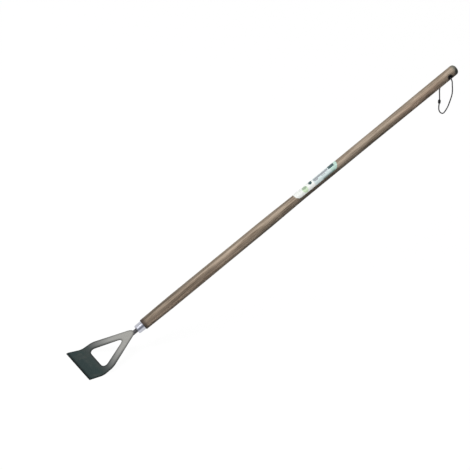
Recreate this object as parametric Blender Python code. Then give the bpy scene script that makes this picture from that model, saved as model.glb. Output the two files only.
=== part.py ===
"""Dutch hoe: pressed steel head, conical ferrule, waisted ash handle and a hanging loop of cord.

Metres, +Z up. The tool is held in its working pose: the blade is level, the handle rises towards +X,
and the cutting edge lies along Y. The origin is the upper hand's grip, on the handle's axis.
"""

import math

import bmesh
import bpy
from mathutils import Matrix, Vector

# Gaps
GAP = 0.0003
HOLE_PLAY = 0.0003
CUT_BEYOND = 0.0020

# Handle, measured along its axis from the square shoulder at its lower end
HANDLE_LENGTH = 1.194
HANDLE_RISE = math.radians(30.4)
GRIP_FROM_TOP = 0.250
SHOULDER_DIAMETER = 0.0334
SHOULDER_ROUND = 0.0012
SWELL_DIAMETER = 0.0357
SWELL_AT = 0.110
TAPER_DIAMETER = 0.0343
TAPER_AT = 0.440
WAIST_DIAMETER = 0.0302
WAIST_AT = 0.620
WAIST_END_DIAMETER = 0.0307
WAIST_END_AT = 0.880
GRIP_DIAMETER = 0.0320
GRIP_SWELL_FROM_TOP = 0.110
DOME_HEIGHT = 0.0120
DOME_POWER = 0.9

# Hanging hole through the handle, along Y
HOLE_DIAMETER = 0.0070
HOLE_FROM_TOP = 0.0310
COUNTERSINK_DIAMETER = 0.0112
COUNTERSINK_DEPTH = 0.0022

# Ferrule, a cup over the handle's spigot
FERRULE_LENGTH = 0.0245
FERRULE_NECK_DIAMETER = 0.0274
FERRULE_SHOULDER_DIAMETER = 0.0286
FERRULE_WALL = 0.0014
FERRULE_END_ROUND = 0.0038

# Neck rod and tang
NECK_DIAMETER = 0.0124
NECK_SHOWN = 0.0120
TANG_LENGTH = 0.095
TANG_END_DIAMETER = 0.0060
TANG_POINT_DIAMETER = 0.0040
TANG_CHAMFER = 0.0020
BORE_BEYOND_TANG = 0.0040
ROD_UNDER_PLATE = 0.0350
ROD_CHAMFER = 0.0012

# Ferrule pin, driven in from below
PIN_DIAMETER = 0.0016
PIN_HEAD_DIAMETER = 0.0036
PIN_HEAD_HEIGHT = 0.0008
PIN_LENGTH = 0.0052
PIN_POINT_LENGTH = 0.0010
PIN_BELOW_SHOULDER = 0.0095

# Head plate, as the flat sheet before it is bent; lengths run back from the cutting edge
SHEET = 0.0030
BLADE_WIDTH = 0.1560
CORNER_ROUND = 0.0030
HEEL_AT = 0.0856
HEEL_WIDTH = 0.1438
HEEL_ROUND = 0.0436
ARMS_MEET_AT = 0.2173
TIP_ROUND = 0.0184
WINDOW_REAR_AT = 0.0619
WINDOW_BASE = 0.1056
WINDOW_MEET_AT = 0.1660
WINDOW_CORNER_ROUND = 0.0135
WINDOW_APEX_ROUND = 0.0110
BEND_AT = 0.0385
BEND_RADIUS = 0.0400
ARM_RISE = math.radians(28.0)
GRIND_LENGTH = 0.0070
EDGE_THICKNESS = 0.0010
EDGE_BREAK = 0.0004
NOTCH_DEPTH = 0.0026

# Weld under the tip
WELD_LEG = 0.0036
WELD_LENGTH = 0.0300
WELD_FROM_TIP = 0.0095

# Label, wrapped round the waist
LABEL_START = 0.583
LABEL_LENGTH = 0.160
LABEL_ARC = math.radians(146.0)
LABEL_CORNER = 0.0120
LABEL_THICKNESS = 0.0003

# Cord
CORD_DIAMETER = 0.0030
CORD_STEP = 2.0 * CORD_DIAMETER
KNOT_DIAMETER = 0.0080
KNOT_END_DIAMETER = 0.0044
KNOT_WRAPS = 3

# Route of the cord in millimetres from the hole's centre: x forward to the handle's top, y to the far
# side, z up. It leaves the knot's lower end, turns at the bottom, climbs the near side, passes through
# the hole and hangs down the far side to the knot's upper end.
ROUTE = (
    (-15.4, 30.4, -119.1),
    (-17.2, 28.8, -127.8),
    (-17.4, 27.2, -138.0),
    (-14.6, 25.3, -145.2),
    (-11.7, 23.9, -148.3),
    (-8.4, 22.7, -149.5),
    (-5.2, 21.9, -148.6),
    (-2.4, 21.2, -145.6),
    (1.6, 19.8, -138.7),
    (6.8, 16.3, -124.7),
    (9.9, 12.2, -108.7),
    (10.8, -2.2, -73.4),
    (7.1, -12.5, -50.9),
    (4.9, -17.0, -38.7),
    (3.0, -19.8, -26.7),
    (1.6, -21.7, -12.2),
    (0.0, -19.1, -4.2),
    (0.0, -13.7, -1.7),
    (0.0, -6.0, -1.7),
    (0.0, 6.0, -1.7),
    (0.0, 13.7, -1.7),
    (0.0, 19.5, -4.3),
    (-1.2, 23.7, -12.0),
    (-4.6, 29.0, -27.0),
    (-12.0, 34.2, -72.4),
    (-12.2, 34.0, -87.8),
    (-13.0, 32.2, -102.8),
)

# Facets
ROUND_STEPS = 32
SMALL_STEPS = 16
HANDLE_RINGS = 32
BEND_STEPS = 8
DOME_STEPS = 6
LABEL_STEPS_ALONG = 6
LABEL_STEPS_AROUND = 18
SPAN_STEPS = 20

ALONG = Vector((math.cos(HANDLE_RISE), 0.0, math.sin(HANDLE_RISE)))
ABOVE = Vector((-math.sin(HANDLE_RISE), 0.0, math.cos(HANDLE_RISE)))
GRIP_AT = HANDLE_LENGTH - GRIP_FROM_TOP
HOLE_AT = HANDLE_LENGTH - HOLE_FROM_TOP
SEAT_DEPTH = NECK_DIAMETER / 2.0 - NOTCH_DEPTH + GAP + SHEET


def clear_scene() -> None:
    """Remove every object of the scene the script is run in."""
    for thing in list(bpy.data.objects):
        bpy.data.objects.remove(thing, do_unlink=True)


def material(name: str, colour: tuple, roughness: float, metallic: float) -> bpy.types.Material:
    """Make a plain Principled material."""
    made = bpy.data.materials.new(name)
    made.use_nodes = True
    shader = made.node_tree.nodes["Principled BSDF"]
    shader.inputs["Base Color"].default_value = (*colour, 1.0)
    shader.inputs["Roughness"].default_value = roughness
    shader.inputs["Metallic"].default_value = metallic
    return made


def on_axis(distance: float) -> Vector:
    """Point of the handle's axis at a distance from the shoulder."""
    return ALONG * (distance - GRIP_AT)


def axis_frame(distance: float) -> Matrix:
    """Frame on the handle's axis: local +Z runs up the handle, local +Y is world +Y."""
    turn = Matrix((-ABOVE, Vector((0.0, 1.0, 0.0)), ALONG)).transposed().to_4x4()
    return Matrix.Translation(on_axis(distance)) @ turn


def add_object(name: str, shape: bmesh.types.BMesh, frame: Matrix, look=None) -> bpy.types.Object:
    """Turn a bmesh into an object placed by its frame, with round faces shaded smooth."""
    bmesh.ops.recalc_face_normals(shape, faces=shape.faces)
    mesh = bpy.data.meshes.new(name)
    shape.to_mesh(mesh)
    shape.free()
    mesh.shade_smooth()
    mesh.set_sharp_from_angle(angle=math.radians(35.0))
    made = bpy.data.objects.new(name, mesh)
    made.matrix_world = frame
    bpy.context.scene.collection.objects.link(made)
    if look is not None:
        mesh.materials.append(look)
    return made


def turned(profile: list, steps: int) -> bmesh.types.BMesh:
    """Turn a profile of (radius, height) points about local Z into a closed solid."""
    shape = bmesh.new()
    line = [shape.verts.new((radius, 0.0, height)) for radius, height in profile]
    edges = [shape.edges.new(pair) for pair in zip(line, line[1:])]
    bmesh.ops.spin(shape, geom=line + edges, cent=(0.0, 0.0, 0.0), axis=(0.0, 0.0, 1.0),
                   angle=math.tau, steps=steps, use_merge=True)
    bmesh.ops.remove_doubles(shape, verts=shape.verts, dist=1e-6)
    return shape


def cutter(name: str, shape: bmesh.types.BMesh, frame: Matrix) -> bpy.types.Object:
    """Add a hidden object that only cuts others."""
    made = add_object(name, shape, frame)
    made.hide_render = True
    made.display_type = "WIRE"
    return made


def cut(piece: bpy.types.Object, tool: bpy.types.Object) -> None:
    """Cut a piece with a tool."""
    boolean = piece.modifiers.new("cut_" + tool.name, "BOOLEAN")
    boolean.operation = "DIFFERENCE"
    boolean.solver = "EXACT"
    boolean.object = tool


def handle_radius(distance: float) -> float:
    """Radius of the turned handle: smooth steps between its named diameters."""
    stations = (
        (0.0, SHOULDER_DIAMETER),
        (SWELL_AT, SWELL_DIAMETER),
        (TAPER_AT, TAPER_DIAMETER),
        (WAIST_AT, WAIST_DIAMETER),
        (WAIST_END_AT, WAIST_END_DIAMETER),
        (HANDLE_LENGTH - GRIP_SWELL_FROM_TOP, GRIP_DIAMETER),
    )
    if distance >= stations[-1][0]:
        return GRIP_DIAMETER / 2.0
    for (low, low_size), (high, high_size) in zip(stations, stations[1:]):
        if distance <= high:
            share = (distance - low) / (high - low)
            ease = share * share * (3.0 - 2.0 * share)
            return (low_size + (high_size - low_size) * ease) / 2.0
    return GRIP_DIAMETER / 2.0


def arc(centre: tuple, radius: float, start: float, end: float, steps: int) -> list:
    """Points of an arc, both ends included."""
    turns = [start + (end - start) * step / steps for step in range(steps + 1)]
    return [(centre[0] + radius * math.cos(turn), centre[1] + radius * math.sin(turn)) for turn in turns]


def ferrule_radius(below: float) -> float:
    """Outer radius of the ferrule at a distance below the handle's shoulder."""
    share = below / FERRULE_LENGTH
    return (FERRULE_SHOULDER_DIAMETER + (FERRULE_NECK_DIAMETER - FERRULE_SHOULDER_DIAMETER) * share) / 2.0


def tang_radius(distance: float) -> float:
    """Radius of the tang at a distance above the shoulder; below it the rod is straight."""
    share = max(0.0, distance) / TANG_LENGTH
    return (NECK_DIAMETER + (TANG_END_DIAMETER - NECK_DIAMETER) * share) / 2.0


def make_handle(look: bpy.types.Material) -> bpy.types.Object:
    """Turned ash handle with spigot, blind tang bore and countersunk hanging hole."""
    spigot_end = FERRULE_LENGTH - FERRULE_WALL - GAP
    inset = FERRULE_WALL + GAP
    bore_depth = TANG_LENGTH + BORE_BEYOND_TANG
    profile = [(0.0, bore_depth), (tang_radius(TANG_LENGTH) + GAP, bore_depth)]
    profile += [(tang_radius(0.0) + GAP, 0.0), (tang_radius(0.0) + GAP, -spigot_end)]
    profile += [(ferrule_radius(spigot_end) - inset, -spigot_end), (ferrule_radius(0.0) - inset, 0.0)]
    corner = (handle_radius(0.0) - SHOULDER_ROUND, SHOULDER_ROUND)
    profile += arc(corner, SHOULDER_ROUND, -math.pi / 2.0, 0.0, 3)
    dome_from = HANDLE_LENGTH - DOME_HEIGHT
    for ring in range(1, HANDLE_RINGS + 1):
        height = SHOULDER_ROUND + (dome_from - SHOULDER_ROUND) * ring / HANDLE_RINGS
        profile.append((handle_radius(height), height))
    top_radius = handle_radius(dome_from)
    for step in range(1, DOME_STEPS):
        turn = math.pi / 2.0 * step / DOME_STEPS
        profile.append((top_radius * math.cos(turn) ** DOME_POWER, dome_from + DOME_HEIGHT * math.sin(turn)))
    profile.append((0.0, HANDLE_LENGTH))
    made = add_object("handle", turned(profile, ROUND_STEPS), axis_frame(0.0), look)

    mouth = handle_radius(HOLE_AT)
    beyond = mouth + COUNTERSINK_DEPTH
    flare = (COUNTERSINK_DIAMETER - HOLE_DIAMETER) / 2.0
    bore = HOLE_DIAMETER / 2.0
    half = [(bore, mouth - COUNTERSINK_DEPTH), (bore + 2.0 * flare, beyond)]
    other_half = [(radius, -height) for radius, height in reversed(half)]
    outline = [(0.0, -beyond)] + other_half + half + [(0.0, beyond)]
    across = Matrix.Translation(on_axis(HOLE_AT)) @ Matrix.Rotation(-math.pi / 2.0, 4, "X")
    cut(made, cutter("hole_cutter", turned(outline, SMALL_STEPS), across))
    cut(made, pin_hole_cutter())
    return made


def pin_frame() -> Matrix:
    """Frame on the ferrule's underside, local +Z pointing out of it."""
    out = -ABOVE
    place = on_axis(-PIN_BELOW_SHOULDER) + out * (ferrule_radius(PIN_BELOW_SHOULDER) + GAP)
    turn = Matrix((ALONG, out.cross(ALONG), out)).transposed().to_4x4()
    return Matrix.Translation(place) @ turn


def pin_hole_cutter() -> bpy.types.Object:
    """Cutter of the pin's hole, shared by the ferrule and the handle."""
    known = bpy.data.objects.get("pin_hole_cutter")
    if known is not None:
        return known
    radius = PIN_DIAMETER / 2.0 + HOLE_PLAY
    bottom = -(PIN_LENGTH + GAP)
    outline = [(0.0, bottom), (radius, bottom), (radius, CUT_BEYOND), (0.0, CUT_BEYOND)]
    return cutter("pin_hole_cutter", turned(outline, 8), pin_frame())


def make_ferrule(look: bpy.types.Material) -> bpy.types.Object:
    """Conical cup: closed end with the rod's hole, open end against the shoulder."""
    hole = NECK_DIAMETER / 2.0 + GAP
    end = -FERRULE_LENGTH
    floor = end + FERRULE_WALL
    end_radius = ferrule_radius(FERRULE_LENGTH)
    profile = [(hole, floor), (hole, end)]
    corner = (end_radius - FERRULE_END_ROUND, end + FERRULE_END_ROUND)
    profile += arc(corner, FERRULE_END_ROUND, -math.pi / 2.0, 0.0, 5)
    profile += [(ferrule_radius(0.0), -GAP), (ferrule_radius(0.0) - FERRULE_WALL, -GAP)]
    profile += [(ferrule_radius(FERRULE_LENGTH - FERRULE_WALL) - FERRULE_WALL, floor), (hole, floor)]
    made = add_object("ferrule", turned(profile, ROUND_STEPS), axis_frame(0.0), look)
    cut(made, pin_hole_cutter())
    return made


def make_pin(look: bpy.types.Material) -> bpy.types.Object:
    """Round-headed nail through the ferrule into the spigot."""
    shank = PIN_DIAMETER / 2.0
    head = PIN_HEAD_DIAMETER / 2.0
    profile = [(0.0, -PIN_LENGTH), (shank * 0.3, -PIN_LENGTH)]
    profile += [(shank, PIN_POINT_LENGTH - PIN_LENGTH), (shank, 0.0)]
    profile += [(head, 0.0), (head * 0.9, PIN_HEAD_HEIGHT * 0.6), (head * 0.5, PIN_HEAD_HEIGHT * 0.94)]
    profile.append((0.0, PIN_HEAD_HEIGHT))
    return add_object("ferrule_pin", turned(profile, SMALL_STEPS), pin_frame(), look)


def rounded_outline(corners: list) -> list:
    """Outline of a polygon given as (x, y, round radius, steps), with its corners rounded by arcs."""
    points = []
    count = len(corners)
    for index, (x, y, radius, steps) in enumerate(corners):
        here = Vector((x, y))
        before = (Vector(corners[index - 1][:2]) - here).normalized()
        after = (Vector(corners[(index + 1) % count][:2]) - here).normalized()
        half = before.angle(after) / 2.0
        middle = here + (before + after).normalized() * (radius / math.sin(half))
        first = here + before * (radius / math.tan(half)) - middle
        last = here + after * (radius / math.tan(half)) - middle
        sweep = first.angle_signed(last)
        for step in range(steps + 1):
            spoke = Matrix.Rotation(-sweep * step / steps, 2) @ first
            points.append(middle + spoke)
    return points


def prism(outline: list, bottom: float, top: float) -> bmesh.types.BMesh:
    """Closed prism over an outline."""
    shape = bmesh.new()
    face = shape.faces.new([shape.verts.new((point[0], point[1], bottom)) for point in outline])
    grown = bmesh.ops.extrude_face_region(shape, geom=[face])
    raised = [item for item in grown["geom"] if isinstance(item, bmesh.types.BMVert)]
    bmesh.ops.translate(shape, verts=raised, vec=(0.0, 0.0, top - bottom))
    return shape


def split(shape: bmesh.types.BMesh, place: Vector, normal: Vector) -> None:
    """Cut every face along a plane, so that the sheet can bend there."""
    everything = list(shape.verts) + list(shape.edges) + list(shape.faces)
    bmesh.ops.bisect_plane(shape, geom=everything, dist=1e-7, plane_co=place, plane_no=normal)


def bent(place: Vector) -> Vector:
    """Carry a point of the flat sheet to the pressed shape; z is its height above the top face."""
    distance, side, height = place
    if distance < GRIND_LENGTH and height > -SHEET / 2.0:
        height += (EDGE_THICKNESS - SHEET) * (1.0 - distance / GRIND_LENGTH)
    bend_length = BEND_RADIUS * ARM_RISE
    turn = min(max(distance - BEND_AT, 0.0), bend_length) / BEND_RADIUS
    flat = min(distance, BEND_AT)
    rest = max(distance - BEND_AT - bend_length, 0.0)
    forward = flat + BEND_RADIUS * math.sin(turn) + rest * math.cos(turn)
    up = BEND_RADIUS * (1.0 - math.cos(turn)) + rest * math.sin(turn)
    return Vector((forward - height * math.sin(turn), side, up + height * math.cos(turn)))


def plate_length() -> float:
    """Developed length of the plate, from the cutting edge to the rounded tip."""
    slope = math.atan2(HEEL_WIDTH / 2.0, ARMS_MEET_AT - HEEL_AT)
    return ARMS_MEET_AT - TIP_ROUND / math.sin(slope) + TIP_ROUND


def head_frame() -> Matrix:
    """Place of the plate's cutting edge: the tip lies over the rod, NECK_SHOWN below the ferrule."""
    tip = on_axis(-(FERRULE_LENGTH + NECK_SHOWN)) + ABOVE * SEAT_DEPTH
    return Matrix.Translation(tip - bent(Vector((plate_length(), 0.0, 0.0))))


def make_head(look: bpy.types.Material) -> bpy.types.Object:
    """Pressed head: cut flat, then ground at the edge and bent up into the arms."""
    half_blade = BLADE_WIDTH / 2.0
    half_heel = HEEL_WIDTH / 2.0
    half_window = WINDOW_BASE / 2.0
    outline = rounded_outline([
        (0.0, -half_blade, CORNER_ROUND, 4),
        (HEEL_AT, -half_heel, HEEL_ROUND, 8),
        (ARMS_MEET_AT, 0.0, TIP_ROUND, 10),
        (HEEL_AT, half_heel, HEEL_ROUND, 8),
        (0.0, half_blade, CORNER_ROUND, 4),
    ])
    window = rounded_outline([
        (WINDOW_REAR_AT, -half_window, WINDOW_CORNER_ROUND, 8),
        (WINDOW_MEET_AT, 0.0, WINDOW_APEX_ROUND, 8),
        (WINDOW_REAR_AT, half_window, WINDOW_CORNER_ROUND, 8),
    ])
    flat = add_object("flat_sheet", prism(outline, -SHEET, 0.0), Matrix.Identity(4))
    opening = cutter("window_cutter", prism(window, -2.0 * SHEET, SHEET), Matrix.Identity(4))
    cut(flat, opening)
    shape = bmesh.new()
    shape.from_object(flat, bpy.context.evaluated_depsgraph_get())
    stations = [BEND_AT + BEND_RADIUS * ARM_RISE * step / BEND_STEPS for step in range(BEND_STEPS + 1)]
    for station in [GRIND_LENGTH] + stations:
        split(shape, Vector((station, 0.0, 0.0)), Vector((1.0, 0.0, 0.0)))
    for vert in shape.verts:
        vert.co = bent(vert.co)
    bpy.data.objects.remove(opening)
    bpy.data.objects.remove(flat)
    made = add_object("head_plate", shape, head_frame(), look)
    rounding = made.modifiers.new("edge_break", "BEVEL")
    rounding.width = EDGE_BREAK
    rounding.segments = 2
    rounding.limit_method = "ANGLE"
    rounding.angle_limit = math.radians(40.0)
    return made


def under_plate_frame(from_tip: float) -> Matrix:
    """Frame on the underside of the arms, near the tip: local +X runs to the tip, +Z out of the top."""
    place = head_frame() @ bent(Vector((plate_length() - from_tip, 0.0, -SHEET)))
    return Matrix.Translation(place) @ Matrix.Rotation(-ARM_RISE, 4, "Y")


def block(size: tuple, centre: tuple) -> bmesh.types.BMesh:
    """Box of a size about a centre."""
    shape = bmesh.new()
    frame = Matrix.Translation(centre) @ Matrix.Diagonal((*size, 1.0))
    bmesh.ops.create_cube(shape, size=1.0, matrix=frame)
    return shape


def make_rod(look: bpy.types.Material) -> bpy.types.Object:
    """Neck rod: seated under the plate's tip, round at the neck, tapering as the tang in the handle."""
    radius = NECK_DIAMETER / 2.0
    low = -(FERRULE_LENGTH + NECK_SHOWN + ROD_UNDER_PLATE)
    profile = [(0.0, low), (radius - ROD_CHAMFER, low), (radius, low + ROD_CHAMFER), (radius, 0.0)]
    profile.append((tang_radius(TANG_LENGTH), TANG_LENGTH - TANG_CHAMFER))
    profile += [(TANG_POINT_DIAMETER / 2.0, TANG_LENGTH), (0.0, TANG_LENGTH)]
    made = add_object("neck_rod", turned(profile, ROUND_STEPS), axis_frame(0.0), look)
    reach = ROD_UNDER_PLATE * 2.0
    seat = block((reach, 4.0 * radius, 4.0 * radius), (-reach / 2.0 + GAP, 0.0, 2.0 * radius - GAP))
    cut(made, cutter("seat_cutter", seat, under_plate_frame(0.0)))
    return made


def make_weld(look: bpy.types.Material) -> bpy.types.Object:
    """Fillet weld along both sides and round the end of the rod, under the plate."""
    radius = NECK_DIAMETER / 2.0
    wide = radius + WELD_LEG
    deep = WELD_LEG
    outline = [(-wide, -GAP), (-radius, -GAP - deep), (radius, -GAP - deep), (wide, -GAP)]
    shape = bmesh.new()
    face = shape.faces.new([shape.verts.new((-WELD_LENGTH, y, z)) for y, z in outline])
    grown = bmesh.ops.extrude_face_region(shape, geom=[face])
    moved = [item for item in grown["geom"] if isinstance(item, bmesh.types.BMVert)]
    bmesh.ops.translate(shape, verts=moved, vec=(WELD_LENGTH, 0.0, 0.0))
    made = add_object("neck_weld", shape, under_plate_frame(WELD_FROM_TIP), look)
    low = -(FERRULE_LENGTH + NECK_SHOWN + ROD_UNDER_PLATE) - GAP
    sleeve = [(0.0, low), (radius + GAP, low), (radius + GAP, 0.0), (0.0, 0.0)]
    cut(made, cutter("rod_cutter", turned(sleeve, ROUND_STEPS), axis_frame(0.0)))
    return made


def make_label(look: bpy.types.Material) -> bpy.types.Object:
    """Thin label: a flat sheet with rounded corners, wrapped round the handle's waist."""
    middle = LABEL_START + LABEL_LENGTH / 2.0
    width = LABEL_ARC * handle_radius(middle)
    side = width / 2.0
    corners = ((0.0, -side), (LABEL_LENGTH, -side), (LABEL_LENGTH, side), (0.0, side))
    outline = rounded_outline([(x, y, LABEL_CORNER, 5) for x, y in corners])
    shape = prism(outline, 0.0, LABEL_THICKNESS)
    for step in range(1, LABEL_STEPS_ALONG):
        split(shape, Vector((LABEL_LENGTH * step / LABEL_STEPS_ALONG, 0.0, 0.0)), Vector((1.0, 0.0, 0.0)))
    for step in range(1, LABEL_STEPS_AROUND):
        place = width * step / LABEL_STEPS_AROUND - side
        split(shape, Vector((0.0, place, 0.0)), Vector((0.0, 1.0, 0.0)))
    for vert in shape.verts:
        along, across, height = vert.co
        turn = math.pi / 2.0 + across / handle_radius(middle)
        radius = handle_radius(LABEL_START + along) + GAP + height
        vert.co = Vector((-radius * math.sin(turn), -radius * math.cos(turn), LABEL_START + along))
    return add_object("handle_label", shape, axis_frame(0.0), look)


def span(before: Vector, start: Vector, end: Vector, after: Vector) -> list:
    """Points of one smooth span from start to end, the end left out (centripetal Catmull-Rom)."""
    lead = (start - before).length ** 0.5
    here = (end - start).length ** 0.5
    follow = (after - end).length ** 0.5
    leave = ((start - before) / lead - (end - before) / (lead + here) + (end - start) / here) * here
    reach = ((end - start) / here - (after - start) / (here + follow) + (after - end) / follow) * here
    points = []
    for step in range(SPAN_STEPS):
        share = step / SPAN_STEPS
        square = share * share
        cube = square * share
        point = start * (2.0 * cube - 3.0 * square + 1.0) + leave * (cube - 2.0 * square + share)
        points.append(point + end * (3.0 * square - 2.0 * cube) + reach * (cube - square))
    return points


def cord_points() -> list:
    """World points along the smooth cord, CORD_STEP apart, both ends GAP short of the knot."""
    centre = on_axis(HOLE_AT)
    route = [centre + Vector(point) / 1000.0 for point in ROUTE]
    route = [route[0] * 2.0 - route[1]] + route + [route[-1] * 2.0 - route[-2]]
    fine = []
    for window in zip(route, route[1:], route[2:], route[3:]):
        fine += span(*window)
    fine.append(route[-2])
    lengths = [0.0]
    for first, second in zip(fine, fine[1:]):
        lengths.append(lengths[-1] + (second - first).length)
    count = round(lengths[-1] / CORD_STEP)
    points = []
    place = 0
    for step in range(count + 1):
        want = lengths[-1] * step / count
        while place < len(fine) - 2 and lengths[place + 1] < want:
            place += 1
        share = (want - lengths[place]) / (lengths[place + 1] - lengths[place])
        points.append(fine[place].lerp(fine[place + 1], share))
    return points


def make_cord(look: bpy.types.Material) -> bpy.types.Object:
    """Hanging cord: a round tube with closed ends."""
    points = cord_points()
    curve = bpy.data.curves.new("hanging_cord", "CURVE")
    curve.dimensions = "3D"
    curve.bevel_depth = CORD_DIAMETER / 2.0
    curve.bevel_resolution = 2
    curve.use_fill_caps = True
    spline = curve.splines.new("POLY")
    spline.points.add(len(points) - 1)
    pivot = cord_pivot()
    for point, place in zip(spline.points, points):
        point.co = (*(place - pivot), 1.0)
    curve.materials.append(look)
    made = bpy.data.objects.new("hanging_cord", curve)
    made.location = pivot
    bpy.context.scene.collection.objects.link(made)
    return made


def cord_pivot() -> Vector:
    """Point on the swing axis: the cord's own middle where it passes through the hole."""
    lowest = HOLE_DIAMETER / 2.0 - CORD_DIAMETER / 2.0 - HOLE_PLAY
    return on_axis(HOLE_AT) + Vector((0.0, 0.0, -lowest))


def make_knot(look: bpy.types.Material) -> bpy.types.Object:
    """Knot: a barrel of wraps between the cord's two ends."""
    points = cord_points()
    run = points[-1] - points[0]
    length = run.length - 2.0 * GAP
    profile = [(0.0, 0.0), (KNOT_END_DIAMETER / 2.0, 0.0)]
    steps = 4 * KNOT_WRAPS
    for step in range(1, steps):
        share = step / steps
        swell = math.sin(math.pi * share) ** 0.5
        wrap = 0.93 + 0.07 * math.cos(math.tau * (share * KNOT_WRAPS - 0.5))
        radius = KNOT_END_DIAMETER / 2.0 + (KNOT_DIAMETER - KNOT_END_DIAMETER) / 2.0 * swell
        profile.append((radius * wrap, length * share))
    profile += [(KNOT_END_DIAMETER / 2.0, length), (0.0, length)]
    place = points[0] + run.normalized() * GAP - cord_pivot()
    turn = run.to_track_quat("Z", "Y").to_matrix().to_4x4()
    shape = turned(profile, SMALL_STEPS)
    bmesh.ops.transform(shape, matrix=Matrix.Translation(place) @ turn, verts=shape.verts)
    return add_object("cord_knot", shape, Matrix.Translation(cord_pivot()), look)


def main() -> None:
    """Build every piece."""
    clear_scene()
    steel = material("polished_steel", (0.62, 0.62, 0.60), 0.28, 1.0)
    dark_steel = material("neck_steel", (0.34, 0.34, 0.35), 0.35, 1.0)
    chrome = material("ferrule_steel", (0.80, 0.80, 0.84), 0.12, 1.0)
    ash = material("stained_ash", (0.36, 0.26, 0.18), 0.45, 0.0)
    paper = material("label_film", (0.86, 0.88, 0.84), 0.35, 0.0)
    black = material("black_cord", (0.02, 0.02, 0.022), 0.8, 0.0)
    make_head(steel)
    make_rod(dark_steel)
    make_weld(dark_steel)
    make_ferrule(chrome)
    make_pin(chrome)
    make_handle(ash)
    make_label(paper)
    make_cord(black)
    make_knot(black)


main()
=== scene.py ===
"""Looks of the dutch hoe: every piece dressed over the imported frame, with the studio and the camera."""

import logging
import math
from dataclasses import dataclass, field
from enum import Enum

import bmesh
import bpy
from mathutils import Matrix, Vector


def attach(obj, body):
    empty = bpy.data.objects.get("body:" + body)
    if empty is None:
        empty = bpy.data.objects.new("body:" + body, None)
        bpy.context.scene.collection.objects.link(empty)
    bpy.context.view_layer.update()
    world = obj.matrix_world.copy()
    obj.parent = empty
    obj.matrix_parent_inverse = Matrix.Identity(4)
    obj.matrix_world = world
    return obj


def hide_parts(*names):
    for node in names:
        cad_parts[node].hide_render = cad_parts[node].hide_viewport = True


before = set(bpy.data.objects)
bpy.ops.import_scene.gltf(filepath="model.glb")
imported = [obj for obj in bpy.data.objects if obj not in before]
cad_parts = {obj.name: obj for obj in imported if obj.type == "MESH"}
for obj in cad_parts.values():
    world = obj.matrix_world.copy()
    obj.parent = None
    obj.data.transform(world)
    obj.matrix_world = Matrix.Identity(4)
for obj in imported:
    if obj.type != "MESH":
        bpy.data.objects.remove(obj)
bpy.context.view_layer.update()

LOG = logging.getLogger("dutch_hoe")
MERGE = 1e-6  # metres under which two points are one
CREASE = 40.0  # degrees past which an edge stays sharp
Number = float | int
Colour = tuple[float, float, float]


class Body(Enum):
    """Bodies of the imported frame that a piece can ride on."""

    TOOL = "tool"
    LOOP = "hang_loop"


class Slot(Enum):
    """Material slots of the record."""

    HEAD = "head_steel"
    NECK = "neck_steel"
    FERRULE = "ferrule_steel"
    ASH = "ash"
    LABEL = "label_film"
    CORD = "cord"


# Sizes that pieces share


def placed(point: Vector, x: Vector, y: Vector, z: Vector) -> Matrix:
    """Frame at a point, with its three axes."""
    return Matrix.Translation(point) @ Matrix((x, y, z)).transposed().to_4x4()


@dataclass(frozen=True)
class HandleLine:
    """The handle's straight axis, measured from the square shoulder at its lower end."""

    rise: float = math.radians(30.4)
    length: float = 1.194
    grip_from_top: float = 0.250
    hole_from_top: float = 0.0310

    @property
    def along(self) -> Vector:
        """Direction up the handle."""
        return Vector((math.cos(self.rise), 0.0, math.sin(self.rise)))

    @property
    def above(self) -> Vector:
        """Direction square to the handle, upwards."""
        return Vector((-math.sin(self.rise), 0.0, math.cos(self.rise)))

    def reach(self, distance: float) -> float:
        """Distance from the grip for a distance from the shoulder."""
        return distance - (self.length - self.grip_from_top)

    def at(self, distance: float) -> Vector:
        """Point of the axis."""
        return self.along * self.reach(distance)

    def frame(self) -> Matrix:
        """Frame at the shoulder: local +Z runs up the handle, +Y is world +Y."""
        return placed(self.at(0.0), -self.above, Vector((0.0, 1.0, 0.0)), self.along)


@dataclass(frozen=True)
class Fit:
    """Sizes of rod and ferrule, and the gap that parts one piece from the next."""

    gap: float = 0.0003
    rod: float = 0.0124
    rod_shown: float = 0.0120
    rod_under: float = 0.0350
    notch: float = 0.0026
    ferrule: float = 0.0245


LINE = HandleLine()
FIT = Fit()


# Shader writing


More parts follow.
